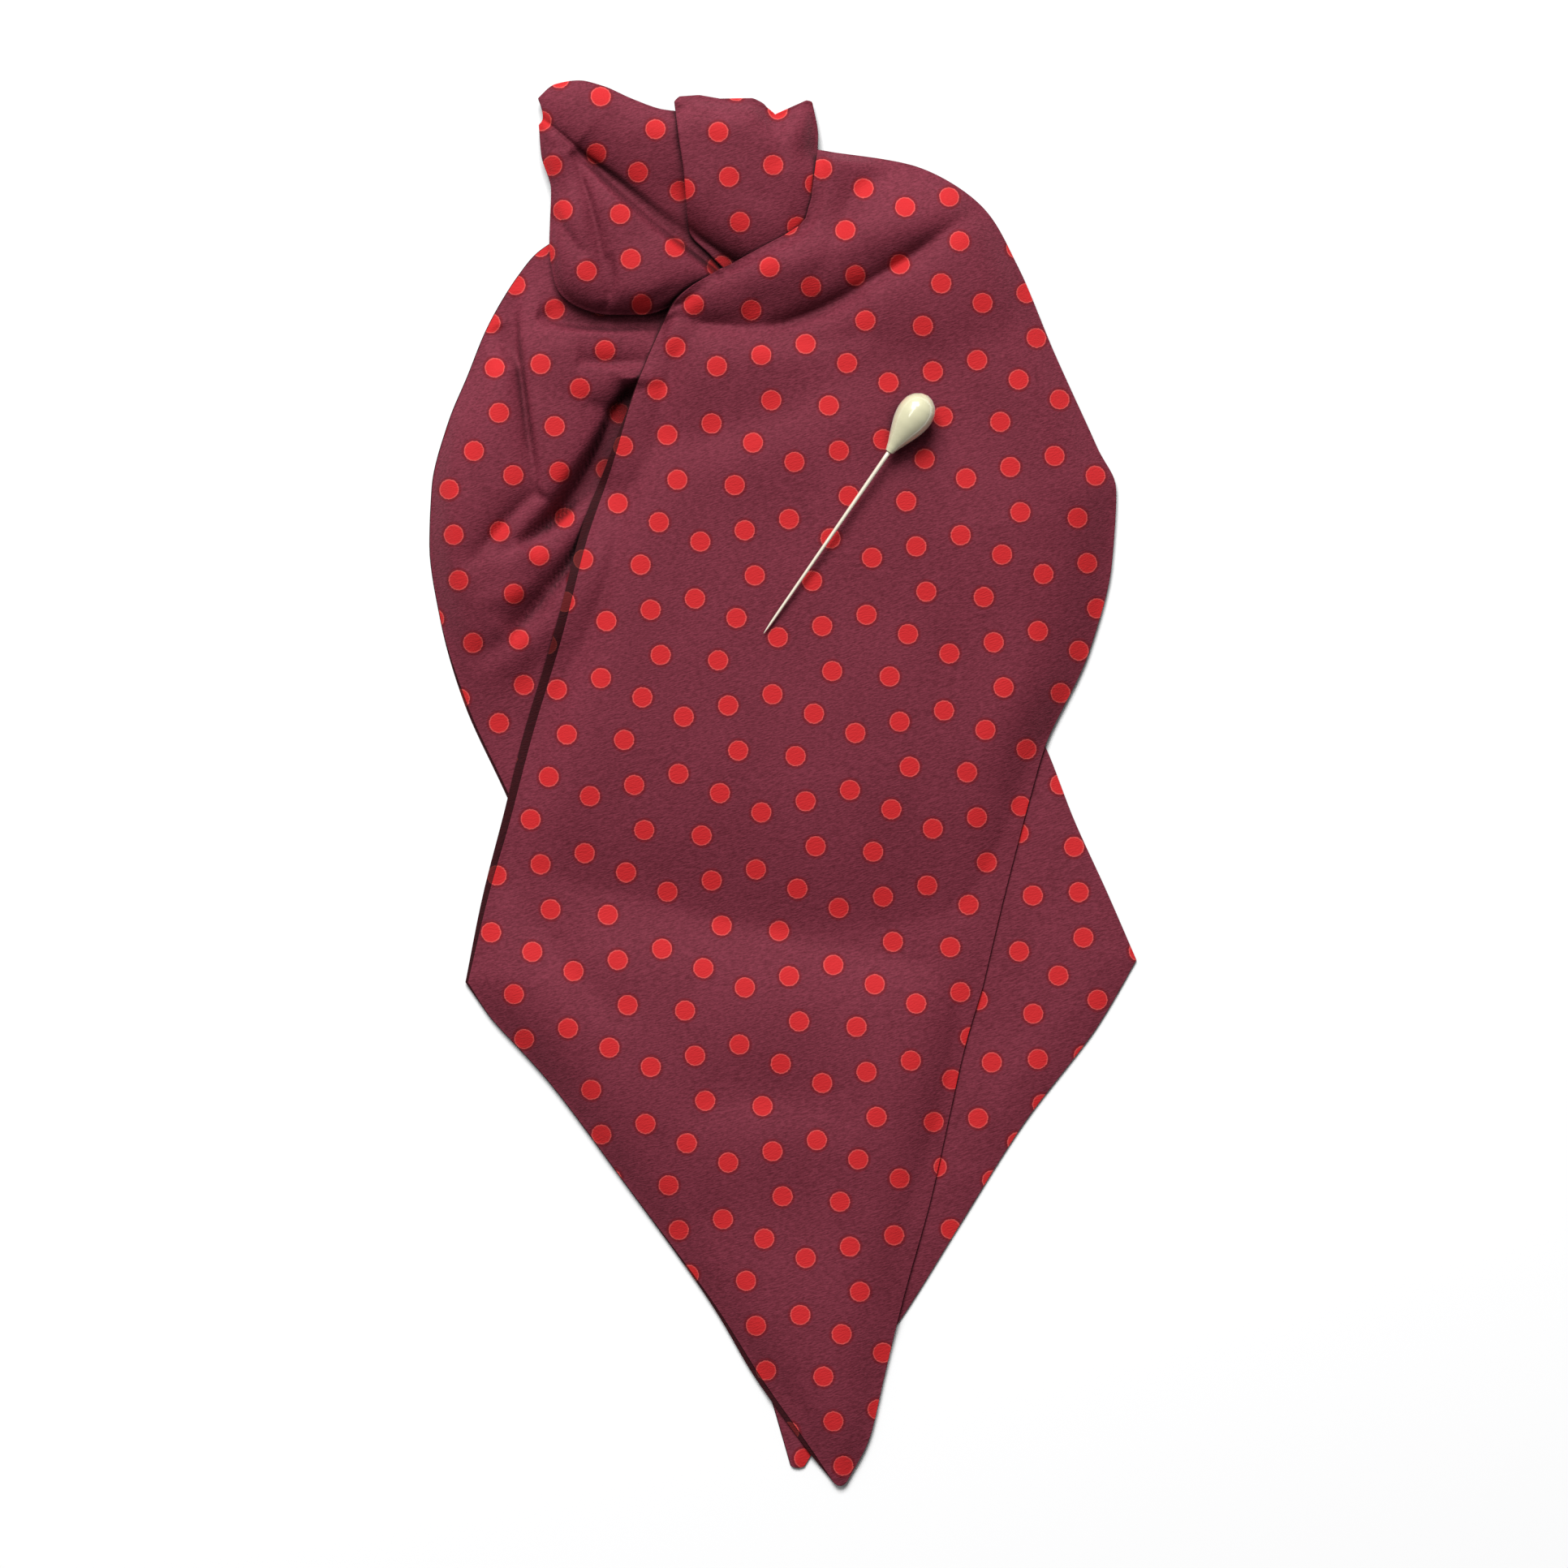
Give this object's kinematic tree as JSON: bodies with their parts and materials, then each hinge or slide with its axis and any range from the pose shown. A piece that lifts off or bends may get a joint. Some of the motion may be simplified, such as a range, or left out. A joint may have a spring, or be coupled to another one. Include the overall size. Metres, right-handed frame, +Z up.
{
  "type": "plastron with a pearl pin",
  "caption": "Spotted plastron laid flat: two pointed self-lined blades crossed below a soft wrapped knot, with a teardrop pearl pin on the front blade.",
  "frame": {"origin": "on the surface that the plastron lies on, under the middle of its extent", "axes": "+Y up the plastron from the blades' points to the knot, +X to the right in the picture, +Z up from the surface"},
  "size_m": [0.1586, 0.3154, 0.0185],
  "materials": {
    "cloth": "burgundy crepe with printed red spots",
    "lining": "the same spotted crepe, seen in shade as the self lining",
    "pin_wire": "bright drawn pin wire",
    "pearl": "ivory imitation pearl, pearlescent lacquer"
  },
  "bodies": {
    "root": {"under_blade": "cloth", "under_blade_lining": "lining", "front_blade": "cloth", "front_blade_lining": "lining", "left_wrap": "cloth", "centre_wrap": "cloth", "neckband": "lining", "pin_shaft": "pin_wire", "pin_head": "pearl"}
  },
  "joints": []
}
